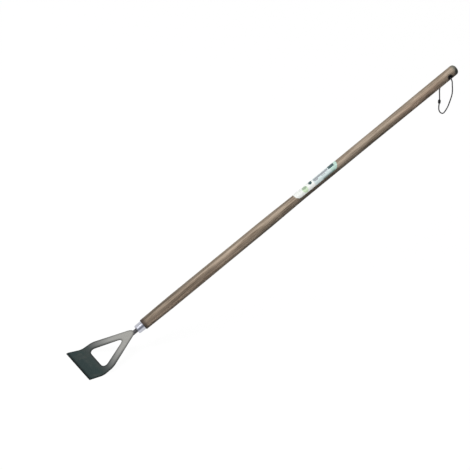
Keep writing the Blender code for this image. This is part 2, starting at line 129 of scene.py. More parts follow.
class Value:
    """One output socket, with Python's operators on numbers and the steps of painting."""

    def __init__(self, shader: "Shader", socket: bpy.types.NodeSocket) -> None:
        """Wrap a socket of a shader."""
        self.shader = shader
        self.socket = socket

    def other(self, name: str) -> "Value":
        """Give another output of the same node."""
        return Value(self.shader, self.socket.node.outputs[name])

    def __add__(self, right: "Term") -> "Value":
        """Sum."""
        return self.shader.math("ADD", self, right)

    def __radd__(self, left: Number) -> "Value":
        """Sum with a number first."""
        return self.shader.math("ADD", left, self)

    def __sub__(self, right: "Term") -> "Value":
        """Difference."""
        return self.shader.math("SUBTRACT", self, right)

    def __rsub__(self, left: Number) -> "Value":
        """Difference from a number."""
        return self.shader.math("SUBTRACT", left, self)

    def __mul__(self, right: "Term") -> "Value":
        """Product."""
        return self.shader.math("MULTIPLY", self, right)

    def __truediv__(self, right: "Term") -> "Value":
        """Quotient."""
        return self.shader.math("DIVIDE", self, right)

    def __pow__(self, right: "Term") -> "Value":
        """Power."""
        return self.shader.math("POWER", self, right)

    def __abs__(self) -> "Value":
        """Size without sign."""
        return self.shader.math("ABSOLUTE", self, 0.0)

    def larger(self, right: "Term") -> "Value":
        """The larger of two values."""
        return self.shader.math("MAXIMUM", self, right)

    def rise(self, low: float, high: float) -> "Value":
        """Smooth step from 0 at low to 1 at high, where low may be the larger."""
        if low > high:
            return 1.0 - self.rise(high, low)
        sockets = {"Value": self, "From Min": low, "From Max": high}
        return self.shader.node("MapRange", {"interpolation_type": "SMOOTHSTEP"}, sockets)

    def over(self, share: "Term", colour: "Value | Colour", blend: str = "MIX") -> "Value":
        """Lay a colour over this one, as far as share says."""
        return self.shader.mix(share, self, colour, blend)

    def dim(self, share: "Value") -> "Value":
        """Darken this colour by a factor that changes over the surface."""
        grey = self.shader.node("CombineColor", sockets={"Red": share, "Green": share, "Blue": share})
        return self.over(1.0, grey, "MULTIPLY")


Term = Value | Number


class Shader:
    """The nodes of a material or of the world, while they are written."""

    def __init__(self, name: str, kind: str = "materials") -> None:
        """Start an empty tree.

        Args:
            name: Name of the material or world.
            kind: Blender's list that it goes into.
        """
        self.owner = getattr(bpy.data, kind).new(name)
        self.owner.use_nodes = True
        self.tree = self.owner.node_tree
        self.tree.nodes.clear()

    def node(self, kind: str, settings: dict | None = None, sockets: dict | None = None,
             output: str | int = 0) -> Value:
        """Add a node.

        Args:
            kind: The node's type, without its prefix.
            settings: Its properties, set first.
            sockets: Values or links of its inputs, by name or number.
            output: The output that is wanted.

        Returns:
            That output.
        """
        made = self.tree.nodes.new("ShaderNode" + kind)
        for name, setting in (settings or {}).items():
            setattr(made, name, setting)
        for name, value in (sockets or {}).items():
            socket = made.inputs[name]
            if isinstance(value, Value):
                self.tree.links.new(value.socket, socket)
            elif socket.type == "RGBA":
                socket.default_value = (*value, 1.0)
            else:
                socket.default_value = value
        return Value(self, made.outputs[output])

    def math(self, operation: str, left: Term, right: Term) -> Value:
        """Work on two values with a Math node."""
        return self.node("Math", {"operation": operation}, {0: left, 1: right})

    def place(self) -> Value:
        """Object coordinates."""
        return self.node("TexCoord", output="Object")

    def handle(self) -> Value:
        """Object coordinates turned into the handle's own: along it, across it and above it."""
        return self.node("Mapping", sockets={"Vector": self.place(), "Rotation": (0.0, LINE.rise, 0.0)})

    def attribute(self, name: str) -> Value:
        """A number that the piece's own mesh holds."""
        return self.node("Attribute", {"attribute_name": name}, output="Fac")

    def vector(self, x: Term, y: Term, z: Term) -> Value:
        """Join three numbers."""
        return self.node("CombineXYZ", sockets={"X": x, "Y": y, "Z": z})

    def split(self, vector: Value) -> tuple[Value, Value, Value]:
        """Part a vector into its three numbers."""
        x = self.node("SeparateXYZ", sockets={"Vector": vector}, output="X")
        return x, x.other("Y"), x.other("Z")

    def noise(self, vector: Value | tuple, scale: float | tuple, detail: float, roughness: float) -> Value:
        """Noise from 0 to 1, about 0.5 on average.

        Args:
            vector: Where it is read; three numbers are joined first.
            scale: How fine it is, or how fine along each axis.
            detail: Its octaves.
            roughness: How much the finer octaves count.

        Returns:
            The noise.
        """
        if isinstance(vector, tuple):
            vector = self.vector(*vector)
        if isinstance(scale, tuple):
            vector = self.node("VectorMath", {"operation": "MULTIPLY"}, {0: vector, 1: scale})
            scale = 1.0
        sockets = {"Vector": vector, "Scale": scale, "Detail": detail, "Roughness": roughness}
        return self.node("TexNoise", sockets=sockets, output="Fac")

    def ramp(self, value: Value, stops: list[tuple[float, Colour]]) -> Value:
        """Colour ramp over a value, from places and colours."""
        made = self.node("ValToRGB", sockets={"Fac": value})
        elements = made.socket.node.color_ramp.elements
        while len(elements) < len(stops):
            elements.new(0.5)
        for element, (place, colour) in zip(elements, stops):
            element.position = place
            element.color = (*colour, 1.0)
        return made

    def mix(self, share: Term, first: Value | Colour, second: Value | Colour, blend: str = "MIX") -> Value:
        """Mix two colours.

        Args:
            share: How much of the second shows.
            first: The colour at 0.
            second: The colour at 1.
            blend: The way of mixing.

        Returns:
            The mixed colour.
        """
        settings = {"data_type": "RGBA", "blend_type": blend, "clamp_factor": True}
        return self.node("Mix", settings, {0: share, 6: first, 7: second}, 2)

    def bump(self, height: Value, strength: float, distance: float) -> Value:
        """Turn heights into a normal."""
        sockets = {"Height": height, "Strength": strength, "Distance": distance}
        return self.node("Bump", sockets=sockets, output="Normal")

    def finish(self, colour: Value, roughness: Value, metallic: float, normal: Value,
               specular: float = 0.5) -> bpy.types.Material:
        """Close the material with a Principled shader.

        Args:
            colour: Base colour.
            roughness: Roughness.
            metallic: Metallic share.
            normal: Normal from a bump.
            specular: Strength of the plain reflection.

        Returns:
            The finished material.
        """
        self.close(self.node("BsdfPrincipled", sockets={
            "Base Color": colour, "Roughness": roughness, "Metallic": metallic, "Normal": normal,
            "Specular IOR Level": specular}))
        return self.owner

    def close(self, surface: Value, kind: str = "Material") -> None:
        """Link a surface to the output of a material or a world."""
        made = self.tree.nodes.new("ShaderNodeOutput" + kind)
        self.tree.links.new(surface.socket, made.inputs["Surface"])


# Finishes


@dataclass(frozen=True)
class PressedSteel:
    """Polished sheet with its reflections painted in: blade painted dark, arms painted silver, painted dark
    reflection towards every sheet edge.
    """

    # edge: painted dark reflection and shade, at the cutting edge and on the side walls
    edge: Colour = (0.010, 0.016, 0.016)
    blade: Colour = (0.0205, 0.037, 0.037)
    back: Colour = (0.028, 0.046, 0.045)
    heel: Colour = (0.072, 0.079, 0.078)
    arm: Colour = (0.246, 0.246, 0.236)
    bright: Colour = (0.352, 0.350, 0.330)
    tip: Colour = (0.370, 0.364, 0.340)
    warm: Colour = (0.055, 0.063, 0.058)
    length: float = 0.2

    def make(self) -> bpy.types.Material:
        """Write the material; it reads the sheet's own lengths from attributes."""
        shader = Shader("pressed_steel")
        along = shader.attribute("from_edge")
        rim = shader.attribute("rim")
        cloud = shader.noise(shader.place(), 26.0, 3.0, 0.55)
        brush = shader.noise(shader.place(), (900.0, 60.0, 900.0), 2.0, 0.6)
        # Painted reflection: dark blade, silver arms and tip, along the sheet from its cutting edge
        shade = shader.ramp(along / self.length, [
            (0.0, self.edge), (0.05, self.blade), (0.12, self.blade), (0.22, self.back), (0.36, self.heel),
            (0.62, self.arm), (0.76, self.bright), (1.0, self.tip)])
        shade = shade.over(along.rise(0.075, 0.03) * cloud.rise(0.50, 0.72) * 0.7, self.warm)
        # Painted dark reflection towards every sheet edge
        shade = shade.dim(0.40 + rim.rise(-0.0015, 0.0076) * 0.66)
        # Painted highlight along the middle of each arm
        painted_arm_glint = rim.rise(0.0050, 0.0088) * along.rise(0.060, 0.080) * along.rise(0.155, 0.125)
        shade = shade.dim(1.0 + painted_arm_glint * 0.27)
        # Painted shade on the side walls, from their slope
        _, _, upright = shader.split(shader.node("TexCoord", output="Normal"))
        wall = abs(upright).rise(0.80, 0.40) * (along.rise(0.002, 0.010) * 0.60 + 0.15)
        shade = shade.over(wall, self.edge)
        shade = shade.dim(0.86 + brush * 0.28)
        roughness = 0.24 + cloud * 0.10 + brush * 0.08
        return shader.finish(shade, roughness, 1.0, shader.bump(brush, 0.18, 0.0004))


@dataclass(frozen=True)
class NeckSteel:
    """Dull drawn rod with a heat tint at the weld."""

    rod: Colour = (0.090, 0.090, 0.098)
    scale: Colour = (0.055, 0.055, 0.062)
    straw: Colour = (0.115, 0.085, 0.055)

    def make(self, name: str, tint: float) -> bpy.types.Material:
        """Write the material.

        Args:
            name: The material's name.
            tint: How much straw colour the heat has left.

        Returns:
            The material.
        """
        shader = Shader(name)
        patch = shader.noise(shader.place(), 90.0, 4.0, 0.6)
        fine = shader.noise(shader.place(), 900.0, 3.0, 0.6)
        shade = shader.mix(patch.rise(0.40, 0.68), self.rod, self.scale)
        shade = shade.over(patch.rise(0.62, 0.30) * tint, self.straw)
        shade = shade.dim(0.82 + fine * 0.36)
        return shader.finish(shade, 0.42 + patch * 0.20, 0.9, shader.bump(fine, 0.25, 0.0003))


@dataclass(frozen=True)
class PolishedFerrule:
    """Bright drawn cup with fine streaks down its length, a painted dark reflection streak and painted shade
    along its upper side.
    """

    bright: Colour = (0.60, 0.61, 0.67)
    painted_dark_streak: Colour = (0.125, 0.135, 0.178)
    worn_and_shade: Colour = (0.34, 0.345, 0.385)

    def make(self) -> bpy.types.Material:
        """Write the material; the streaks run along the handle's line."""
        shader = Shader("polished_ferrule")
        along, across, up = shader.split(shader.handle())
        turn = shader.math("ARCTAN2", up, across)
        streaks = shader.noise((along * 6.0, turn * 1.6, 0.0), 1.0, 1.0, 0.4)
        fine = shader.noise((along * 30.0, turn * 26.0, 0.0), 1.0, 2.0, 0.6)
        shade = shader.mix(streaks.rise(0.60, 0.74), self.bright, self.worn_and_shade)
        # Painted shade along the upper side
        shade = shade.over(abs(turn - 2.02).rise(0.34, 0.16) * 0.80, self.worn_and_shade)
        # Painted dark reflection streak along the lower middle
        shade = shade.over(abs(turn - 2.58).rise(0.43, 0.08) * 0.92, self.painted_dark_streak)
        # Fine streaks, and painted shade on the upper side
        shade = shade.dim(0.88 + fine * 0.22 - turn.rise(2.20, 2.00) * 0.13)
        return shader.finish(shade, 0.26 + fine * 0.12, 1.0, shader.bump(fine, 0.10, 0.0002))


@dataclass(frozen=True)
class StainedAsh:
    """Stained and oiled ash: long grain, growth rings, open pores and dark end grain, with painted light and
    shade.

    Its one size is the middle of the label, as a distance from the grip.
    """

    label: float
    light: Colour = (0.413, 0.336, 0.261)
    middle: Colour = (0.303, 0.241, 0.181)
    dark: Colour = (0.142, 0.107, 0.076)
    # rim: painted shade at the foot, where the handle meets the ferrule
    rim: Colour = (0.056, 0.042, 0.035)
    end: Colour = (0.170, 0.175, 0.145)
    # Painted shade in and round the hanging hole
    hole_shade: Colour = (0.006, 0.005, 0.005)
    # Painted shade on the dome's lower side
    dome_shade: Colour = (0.030, 0.032, 0.026)
    glow: Colour = (1.065, 0.985, 0.965)

    def make(self) -> bpy.types.Material:
        """Write the material; its grain follows the handle's line."""
        shader = Shader("stained_ash")
        place = shader.handle()
        along, across, up = shader.split(place)
        from_foot = along - LINE.reach(0.0)
        from_top = LINE.reach(LINE.length) - along
        sway = shader.noise((along * 2.2, 0.0, 0.0), 1.0, 1.0, 0.5)
        side = shader.math("ARCTAN2", up, across * -1.0) + (sway - 0.5) * 0.5

        # Grain: flames, growth rings and fibres
        rings_at = shader.vector(along * 0.10, across + 0.016 + sway * 0.006, up - 0.030 + sway * 0.010)
        rings = shader.node("TexWave", {"wave_type": "RINGS", "rings_direction": "X", "wave_profile": "SAW"},
                            {"Vector": rings_at, "Scale": 95.0, "Distortion": 2.2, "Detail": 2.0,
                             "Detail Scale": 1.4}, "Fac")
        flame = shader.noise(place, (7.0, 130.0, 130.0), 3.0, 0.6)
        fibre = shader.noise(place, (30.0, 1300.0, 1300.0), 2.0, 0.6)
        pore = shader.noise(place, (70.0, 2200.0, 2200.0), 1.0, 0.5)
        tone = flame * 0.58 + rings * 0.12 + fibre * 0.30
        shade = shader.ramp(tone, [(0.37, self.dark), (0.48, self.middle), (0.59, self.light)])

        # Painted light and shade: long bands round the handle, stronger at the foot and the grip, with random
        # patches and a warm tint
        near_foot = from_foot.rise(0.38, 0.06)
        low = from_foot.rise(0.48, 0.30)
        body = from_foot.rise(0.75, 0.60)
        grip = from_top.rise(0.30, 0.16)
        upper = side.rise(1.05, 1.60)
        lower = side.rise(0.50, 0.10)
        far = abs(side).rise(2.1, 2.7)
        # Painted shade along the top edge (crest), a painted highlight (gleam) and a painted dark streak
        # below it
        crest = abs(side - 1.58).rise(0.28, 0.06) * body
        gleam = abs(side - 0.95 - grip * 0.2).rise(0.26, 0.08) * (body + grip * 1.4)
        painted_dark_streak = (abs(side - 0.47 - low * 0.13 + grip * 0.10) * (1.0 - low * 0.2)).rise(0.33, 0.05)
        # Painted light and shade on the upper and lower sides
        tint = 1.08 + gleam * 0.10 - upper * (0.28 + near_foot * 0.20) - crest * 0.14
        tint = tint - painted_dark_streak * (0.17 + low * 0.20 + grip * 0.07) - lower * (0.06 - low * 0.38)
        patch = shader.noise((along * 17.0, side * 1.3, 0.0), 1.0, 2.0, 0.6)
        tint = tint + (patch - 0.5) * (1.0 - upper) * (0.55 + lower * 1.10) * (1.0 + grip * 1.2)
        # The painted bands fade to an even darkening on the far side
        shade = shade.dim(tint * (1.0 - far) + far * 0.85)
        glow = (grip * from_top.rise(0.02, 0.10) + low * 0.5) * side.rise(1.35, 0.55)
        shade = shade.over(glow, self.glow, "MULTIPLY")

        # Pores; darker towards the foot; painted shade at the shoulder and painted shadow along the label's
        # lower edge
        holes = pore.rise(0.66, 0.76) * rings.rise(0.75, 0.25)
        shade = shade.over(holes * 0.55, self.dark)
        # Darker towards the foot, less so on the lower side
        shade = shade.dim(1.0 - near_foot * (0.22 - lower * 0.14))
        # Painted shade at the shoulder, where the handle meets the ferrule
        shade = shade.over(from_foot.rise(0.015, 0.003) * 0.90, self.rim)
        # Painted shadow along the label's lower edge
        beside = abs(along - self.label).rise(0.084, 0.068) * abs(side + 0.18).rise(0.62, 0.42)
        shade = shade.dim(1.0 - beside * 0.42)

        # Top: end grain on the dome, painted shade on the dome's lower side and in and round the hanging hole
        shade = shade.over(from_top.rise(0.017, 0.006) * 0.88, self.end)
        # Painted shade on the dome's lower side
        dome_shade_share = (from_top - side.rise(0.9, -0.1) * 0.011).rise(0.0060, 0.0015)
        dome_shade_share = dome_shade_share * side.rise(1.6, 0.9) * side.rise(-2.2, -1.2)
        shade = shade.over(dome_shade_share * 0.90, self.dome_shade)
        # Painted shade in the countersunk hanging hole
        ahead = from_top - (LINE.hole_from_top + 0.0010)
        away = (ahead * ahead + up * up) ** 0.5
        shade = shade.over(away.rise(0.0104, 0.0074) * 0.98, self.hole_shade)
        normal = shader.bump(fibre * 0.6 + rings * 0.1 - holes * 0.6, 0.30, 0.0005)
        return shader.finish(shade, 0.40 + fibre * 0.16 + holes * 0.15, 0.0, normal, 0.18)


@dataclass(frozen=True)
class LabelFilm:
    """Coated film with soft plain shapes: ovals, stripes, a bar and a mint end."""

    paper: Colour = (0.82, 0.84, 0.81)
    sky: Colour = (0.61, 0.71, 0.71)
    green: Colour = (0.53, 0.70, 0.45)
    moss: Colour = (0.22, 0.29, 0.21)
    teal: Colour = (0.040, 0.085, 0.090)
    stripe: Colour = (0.21, 0.20, 0.23)
    mint: Colour = (0.48, 0.67, 0.59)
    shadow: Colour = (0.13, 0.20, 0.18)

    def make(self) -> bpy.types.Material:
        """Write the material; it reads the film's own map: x up the handle, y round it."""
        shader = Shader("label_film")
        along, around, _ = shader.split(shader.node("UVMap", {"uv_map": "film"}))
        grain = shader.noise((along * 9.0, around * 5.0, 0.0), 1.0, 2.0, 0.5)

        def spot(x: float, y: float, wide: float, high: float, soft: float) -> Value:
            """Soft oval, 1 inside."""
            ahead = (along - x) / wide
            beside = (around - y) / high
            return (ahead * ahead + beside * beside).rise(1.0 + soft, 1.0 - soft)

        def panel(low: float, high: float, soft: float) -> Value:
            """Soft band across the film, 1 inside."""
            return along.rise(low - soft, low + soft) * along.rise(high + soft, high - soft)

        shade = shader.mix(panel(0.45, 0.84, 0.006), self.paper, self.sky)
        for x, y, wide, high, soft, share, colour in (
                (0.2415, 0.34, 0.058, 0.30, 0.05, 0.85, self.green),
                (0.2415, 0.46, 0.048, 0.15, 0.06, 0.72, self.moss),
                (0.1500, 0.48, 0.034, 0.05, 0.10, 0.25, self.moss),
                (0.3850, 0.58, 0.038, 0.25, 0.05, 1.00, self.teal)):
            shade = shade.over(spot(x, y, wide, high, soft) * share, colour)
        lines = abs(around - 0.50).rise(0.105, 0.095) * panel(0.46, 0.795, 0.002)
        for y, low, high, share in ((0.34, 0.47, 0.55, 1.0), (0.32, 0.63, 0.72, 0.6)):
            lines = lines.larger(abs(around - y).rise(0.048, 0.040) * panel(low, high, 0.002) * share)
        shade = shade.over(lines * 0.78, self.stripe)
        end = along.rise(0.834, 0.842) * around.rise(0.37, 0.35)
        shade = shade.over(end.larger(along.rise(0.938, 0.944)), self.mint)
        shade = shade.over(panel(0.62, 0.90, 0.030) * around.rise(0.125, 0.075) * 0.75, self.shadow)
        shade = shade.over(panel(0.81, 0.94, 0.003) * around.rise(0.35, 0.365), self.teal)
        shade = shade.dim(0.93 + grain * 0.12)
        return shader.finish(shade, 0.30 + grain * 0.10, 0.0, shader.bump(grain, 0.08, 0.0002))


@dataclass(frozen=True)
class BraidedCord:
    """Black polyester braid: two families of strands crossing round the cord."""

    strand: Colour = (0.020, 0.020, 0.022)
    groove: Colour = (0.006, 0.006, 0.007)
    strands: float = 6.0
    lean: float = 330.0

    def make(self) -> bpy.types.Material:
        """Write the material; it reads the cord's own map: x along in metres, y round it from 0 to 1."""
        shader = Shader("braided_cord")
        along, around, _ = shader.split(shader.node("UVMap", {"uv_map": "braid"}))
        turns, lean = around * self.strands, along * self.lean
        first = shader.math("PINGPONG", turns + lean, 0.5)
        second = shader.math("PINGPONG", turns - lean, 0.5)
        weave = first.larger(second) * 2.0
        fuzz = shader.noise(shader.place(), 2500.0, 2.0, 0.6)
        shade = shader.mix(weave.rise(0.35, 0.95), self.groove, self.strand)
        shade = shade.dim(0.7 + fuzz * 0.6)
        return shader.finish(shade, 0.72 + fuzz * 0.15, 0.0, shader.bump(weave + fuzz * 0.3, 0.55, 0.0004))


# Shapes that pieces share


def spun(profile: list[tuple[float, float]], steps: int) -> bmesh.types.BMesh:
    """Spin a profile about local Z.

    Args:
        profile: Points of radius and height.
        steps: Faces round the shape.

    Returns:
        The closed shape.
    """
    shape = bmesh.new()
    line = [shape.verts.new((radius, 0.0, height)) for radius, height in profile]
    edges = [shape.edges.new(pair) for pair in zip(line, line[1:])]
    bmesh.ops.spin(shape, geom=line + edges, cent=(0.0, 0.0, 0.0), axis=(0.0, 0.0, 1.0),
                   angle=math.tau, steps=steps, use_merge=True)
    bmesh.ops.remove_doubles(shape, verts=shape.verts, dist=MERGE)
    return shape


def rounded(corner: tuple[float, float], radius: float, start: float, end: float, steps: int) -> list:
    """Points of an arc in degrees, both ends included."""
    turns = [math.radians(start + (end - start) * step / steps) for step in range(steps + 1)]
    return [(corner[0] + radius * math.cos(turn), corner[1] + radius * math.sin(turn)) for turn in turns]


def bevelled(shape: bmesh.types.BMesh, verts: list[bmesh.types.BMVert], offset: float, steps: int) -> None:
    """Round the corners of a flat face, from an offset on both sides of each."""
    bmesh.ops.bevel(shape, geom=verts, offset=offset, offset_type="OFFSET", segments=steps, profile=0.5,
                    affect="VERTICES", material=-1, clamp_overlap=False)


def doubled(shape: bmesh.types.BMesh) -> list[bmesh.types.BMVert]:
    """Copy every face of a sheet, wall the copy in, and give the copy's verts."""
    grown = bmesh.ops.extrude_face_region(shape, geom=list(shape.faces), use_keep_orig=True)
    return [item for item in grown["geom"] if isinstance(item, bmesh.types.BMVert)]


def divide(shape: bmesh.types.BMesh, axis: int, places: list[float]) -> None:
    """Cut every face along planes.

    Args:
        shape: The shape.
        axis: The axis that the planes stand square on, 0 for X and 1 for Y.
        places: Where they cross it.
    """
    normal = Vector((0.0, 0.0, 0.0))
    normal[axis] = 1.0
    for place in places:
        everything = list(shape.verts) + list(shape.edges) + list(shape.faces)
        bmesh.ops.bisect_plane(shape, geom=everything, dist=MERGE, plane_co=normal * place, plane_no=normal)


def lofted(shape: bmesh.types.BMesh, rows: list[list[bmesh.types.BMVert]]) -> list[bmesh.types.BMFace]:
    """Join closed rows of verts by faces and close both ends.

    Args:
        shape: The shape that the rows are in.
        rows: The rows, all of one length.

    Returns:
        The faces round the shape, row by row, and then its two ends.
    """
    faces = []
    for row, follow in zip(rows, rows[1:]):
        for first, second in zip(range(len(row)), [*range(1, len(row)), 0]):
            faces.append(shape.faces.new((row[first], row[second], follow[second], follow[first])))
    return faces + [shape.faces.new(rows[0]), shape.faces.new(rows[-1])]


def joined(shape: bmesh.types.BMesh, other: bmesh.types.BMesh) -> bmesh.types.BMesh:
    """Add another shape to a shape, the other used up."""
    spare = bpy.data.meshes.new("spare")
    other.to_mesh(spare)
    other.free()
    shape.from_mesh(spare)
    bpy.data.meshes.remove(spare)
    return shape


def smoothed(mesh: bpy.types.Mesh, sharp: float) -> None:
    """Shade a mesh smooth, with edges past an angle in degrees left sharp."""
    mesh.shade_smooth()
    mesh.set_sharp_from_angle(angle=math.radians(sharp))


def piece(name: str, shape: bmesh.types.BMesh, look: bpy.types.Material | None,
          place: Matrix | None = None, sharp: float = CREASE) -> bpy.types.Object:
    """Turn a shape into a piece at the origin, its place in its mesh.

    Args:
        name: The piece's name.
        shape: Its shape, used up.
        look: Its material, if any.
        place: Where the shape goes.
        sharp: Angle in degrees past which an edge stays sharp.

    Returns:
        The piece.
    """
    if place is not None:
        bmesh.ops.transform(shape, matrix=place, verts=shape.verts)
    bmesh.ops.recalc_face_normals(shape, faces=shape.faces)
    mesh = bpy.data.meshes.new(name)
    shape.to_mesh(mesh)
    shape.free()
    smoothed(mesh, sharp)
    made = bpy.data.objects.new(name, mesh)
    bpy.context.scene.collection.objects.link(made)
    if look is not None:
        mesh.materials.append(look)
    return made


def plug(name: str, radius: float, low: float, high: float, steps: int, place: Matrix) -> bpy.types.Object:
    """Make a cylinder that cuts, between two heights on local Z."""
    return piece(name, spun([(0.0, low), (radius, low), (radius, high), (0.0, high)], steps), None, place)


def carve(target: bpy.types.Object, *tools: bpy.types.Object) -> None:
    """Cut a piece with tools, clean the cut faces and remove the tools."""
    for tool in tools:
        cut = target.modifiers.new("cut", "BOOLEAN")
        cut.operation = "DIFFERENCE"
        cut.solver = "EXACT"
        cut.object = tool
    seen = target.evaluated_get(bpy.context.evaluated_depsgraph_get())
    mesh = bpy.data.meshes.new_from_object(seen)
    target.modifiers.clear()
    target.data = mesh
    shape = bmesh.new()
    shape.from_mesh(mesh)
    bmesh.ops.dissolve_degenerate(shape, dist=MERGE, edges=shape.edges)
    bmesh.ops.triangulate(shape, faces=[face for face in shape.faces if len(face.verts) > 4],
                          ngon_method="BEAUTY")
    shape.to_mesh(mesh)
    shape.free()
    smoothed(mesh, CREASE)
    for tool in tools:
        bpy.data.objects.remove(tool)


def seat(made: bpy.types.Object, body: Body, slot: Slot, *nodes: str) -> None:
    """Let a piece ride on a body and stand for CAD nodes."""
    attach(made, body.value)
    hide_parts(*nodes)
    LOG.info("%s: %d faces", made.name, len(made.data.polygons))


# Head


@dataclass
class PressedHead:
    """Head plate cut flat, crowned, ground at its edge and bent up into two arms.

    Each of the rim steps is a width and a rise, from the outline inwards.
    """

    sheet: float = 0.0030
    blade_width: float = 0.1560
    corner_round: float = 0.0030
    corner_steps: int = 5
    heel_at: float = 0.0856
    heel_width: float = 0.1438
    heel_round: float = 0.0436
    heel_steps: int = 16
    arms_meet_at: float = 0.2173
    tip_round: float = 0.0184
    window_rear_at: float = 0.0619
    window_base: float = 0.1056
    window_meet_at: float = 0.1660
    window_corner_round: float = 0.0135
    window_apex_round: float = 0.0110
    window_steps: int = 14
    bend_at: float = 0.0385
    bend_radius: float = 0.0400
    bend_rows: int = 16
    arm_rise: float = math.radians(28.0)
    grind_length: float = 0.0070
    edge_thickness: float = 0.0010
    rim_steps: tuple = ((0.00025, 0.00045), (0.00035, 0.00022), (0.00055, 0.00010), (0.0008, 0.00007),
                        (0.0008, 0.00004))
    cell: float = 0.0035
    cells_long: int = 60
    cells_wide: int = 22
    sharp: float = 50.0
    outline: list = field(default_factory=list, init=False)

    def loop(self, corners: list[tuple[float, float, float, int]]) -> bmesh.types.BMesh:
        """Outline of a polygon with rounded corners.

        Args:
            corners: Place, radius and steps of each corner.

        Returns:
            The outline, without a face.
        """
        shape = bmesh.new()
        shape.faces.new([shape.verts.new((x, y, 0.0)) for x, y, _, _ in corners])
        points = [Vector((x, y, 0.0)) for x, y, _, _ in corners]
        for index, (here, (_, _, radius, steps)) in enumerate(zip(points, corners)):
            before = points[index - 1] - here
            after = points[(index + 1) % len(points)] - here
            vert = min(shape.verts, key=lambda item: (item.co - here).length)
            bevelled(shape, [vert], radius / math.tan(before.angle(after) / 2.0), steps)
        bmesh.ops.delete(shape, geom=list(shape.faces), context="FACES_ONLY")
        return shape

    def bent(self, point: Vector) -> Vector:
        """Carry a point of the flat sheet to the pressed shape."""
        distance, side, height = point
        if distance < self.grind_length:
            local = self.edge_thickness + (self.sheet - self.edge_thickness) * distance / self.grind_length
            height = -self.sheet + (height + self.sheet) * local / self.sheet
        curved = self.bend_radius * self.arm_rise
        turn = min(max(distance - self.bend_at, 0.0), curved) / self.bend_radius
        rest = max(distance - self.bend_at - curved, 0.0)
        forward = min(distance, self.bend_at) + self.bend_radius * math.sin(turn) + rest * math.cos(turn)
        up = self.bend_radius * (1.0 - math.cos(turn)) + rest * math.sin(turn)
        return Vector((forward - height * math.sin(turn), side, up + height * math.cos(turn)))

    def length(self) -> float:
        """Developed length to the rounded tip."""
        slope = math.atan2(self.heel_width / 2.0, self.arms_meet_at - self.heel_at)
        return self.arms_meet_at - self.tip_round / math.sin(slope) + self.tip_round

    def frame(self) -> Matrix:
        """Place of the cutting edge: the tip lies over the rod, which is let into the sheet."""
        over_axis = FIT.rod / 2.0 - FIT.notch + FIT.gap + self.sheet
        tip = LINE.at(-(FIT.ferrule + FIT.rod_shown)) + LINE.above * over_axis
        return Matrix.Translation(tip - self.bent(Vector((self.length(), 0.0, 0.0))))

    def rim_distance(self, point: Vector) -> float:
        """Distance in the flat sheet to its nearest outline, smooth across the front corners."""
        least = 1e-5
        best = 1.0
        for start, end in self.outline:
            if max(start.x, end.x) < least:
                continue
            edge = end - start
            share = max(0.0, min(1.0, (point - start).dot(edge) / edge.length_squared))
            best = min(best, (start + edge * share - point).length)
        return (max(best, least) ** -3.0 + max(point.x, least) ** -3.0) ** (-1.0 / 3.0)

    def skin(self) -> bmesh.types.BMesh:
        """Top face of the flat sheet, with its rounded rim and a fine grid."""
        blade, heel, window = self.blade_width / 2, self.heel_width / 2, self.window_base / 2
        shape = joined(
            self.loop([(0.0, -blade, self.corner_round, self.corner_steps),
                       (self.heel_at, -heel, self.heel_round, self.heel_steps),
                       (self.arms_meet_at, 0.0, self.tip_round, self.heel_steps),
                       (self.heel_at, heel, self.heel_round, self.heel_steps),
                       (0.0, blade, self.corner_round, self.corner_steps)]),
            self.loop([(self.window_rear_at, -window, self.window_corner_round, self.window_steps),
                       (self.window_meet_at, 0.0, self.window_apex_round, self.window_steps),
                       (self.window_rear_at, window, self.window_corner_round, self.window_steps)]))
        self.outline = [(edge.verts[0].co.copy(), edge.verts[1].co.copy()) for edge in shape.edges]
        bmesh.ops.triangle_fill(shape, use_beauty=True, use_dissolve=False, edges=shape.edges)
        bmesh.ops.recalc_face_normals(shape, faces=shape.faces)
        if next(iter(shape.faces)).normal.z < 0.0:
            bmesh.ops.reverse_faces(shape, faces=shape.faces)
        inner = list(shape.faces)
        depth = 0.0
        for thickness, rise in self.rim_steps:
            bmesh.ops.inset_region(shape, faces=inner, thickness=thickness, depth=rise, use_boundary=True,
                                   use_even_offset=True)
            depth += rise
        bmesh.ops.translate(shape, verts=shape.verts, vec=(0.0, 0.0, -depth))
        bend = [self.bend_at + self.bend_radius * self.arm_rise * step / self.bend_rows
                for step in range(self.bend_rows + 1)]
        divide(shape, 0, [self.cell * step for step in range(1, self.cells_long)] + bend)
        divide(shape, 1, [self.cell * step for step in range(-self.cells_wide, self.cells_wide + 1)])
        return shape

    def build(self, look: bpy.types.Material) -> None:
        """Make the head plate."""
        shape = self.skin()
        bmesh.ops.scale(shape, verts=doubled(shape), vec=(1.0, 1.0, -1.0),
                        space=Matrix.Translation((0.0, 0.0, self.sheet / 2.0)))
        from_edge = shape.verts.layers.float.new("from_edge")
        rim = shape.verts.layers.float.new("rim")
        for vert in shape.verts:
            vert[from_edge] = vert.co.x
            vert[rim] = self.rim_distance(Vector((vert.co.x, vert.co.y, 0.0)))
            vert.co = self.bent(vert.co)
        made = piece("head_plate_pressed", shape, look, self.frame(), self.sharp)
        seat(made, Body.TOOL, Slot.HEAD, "head_plate")


# Neck


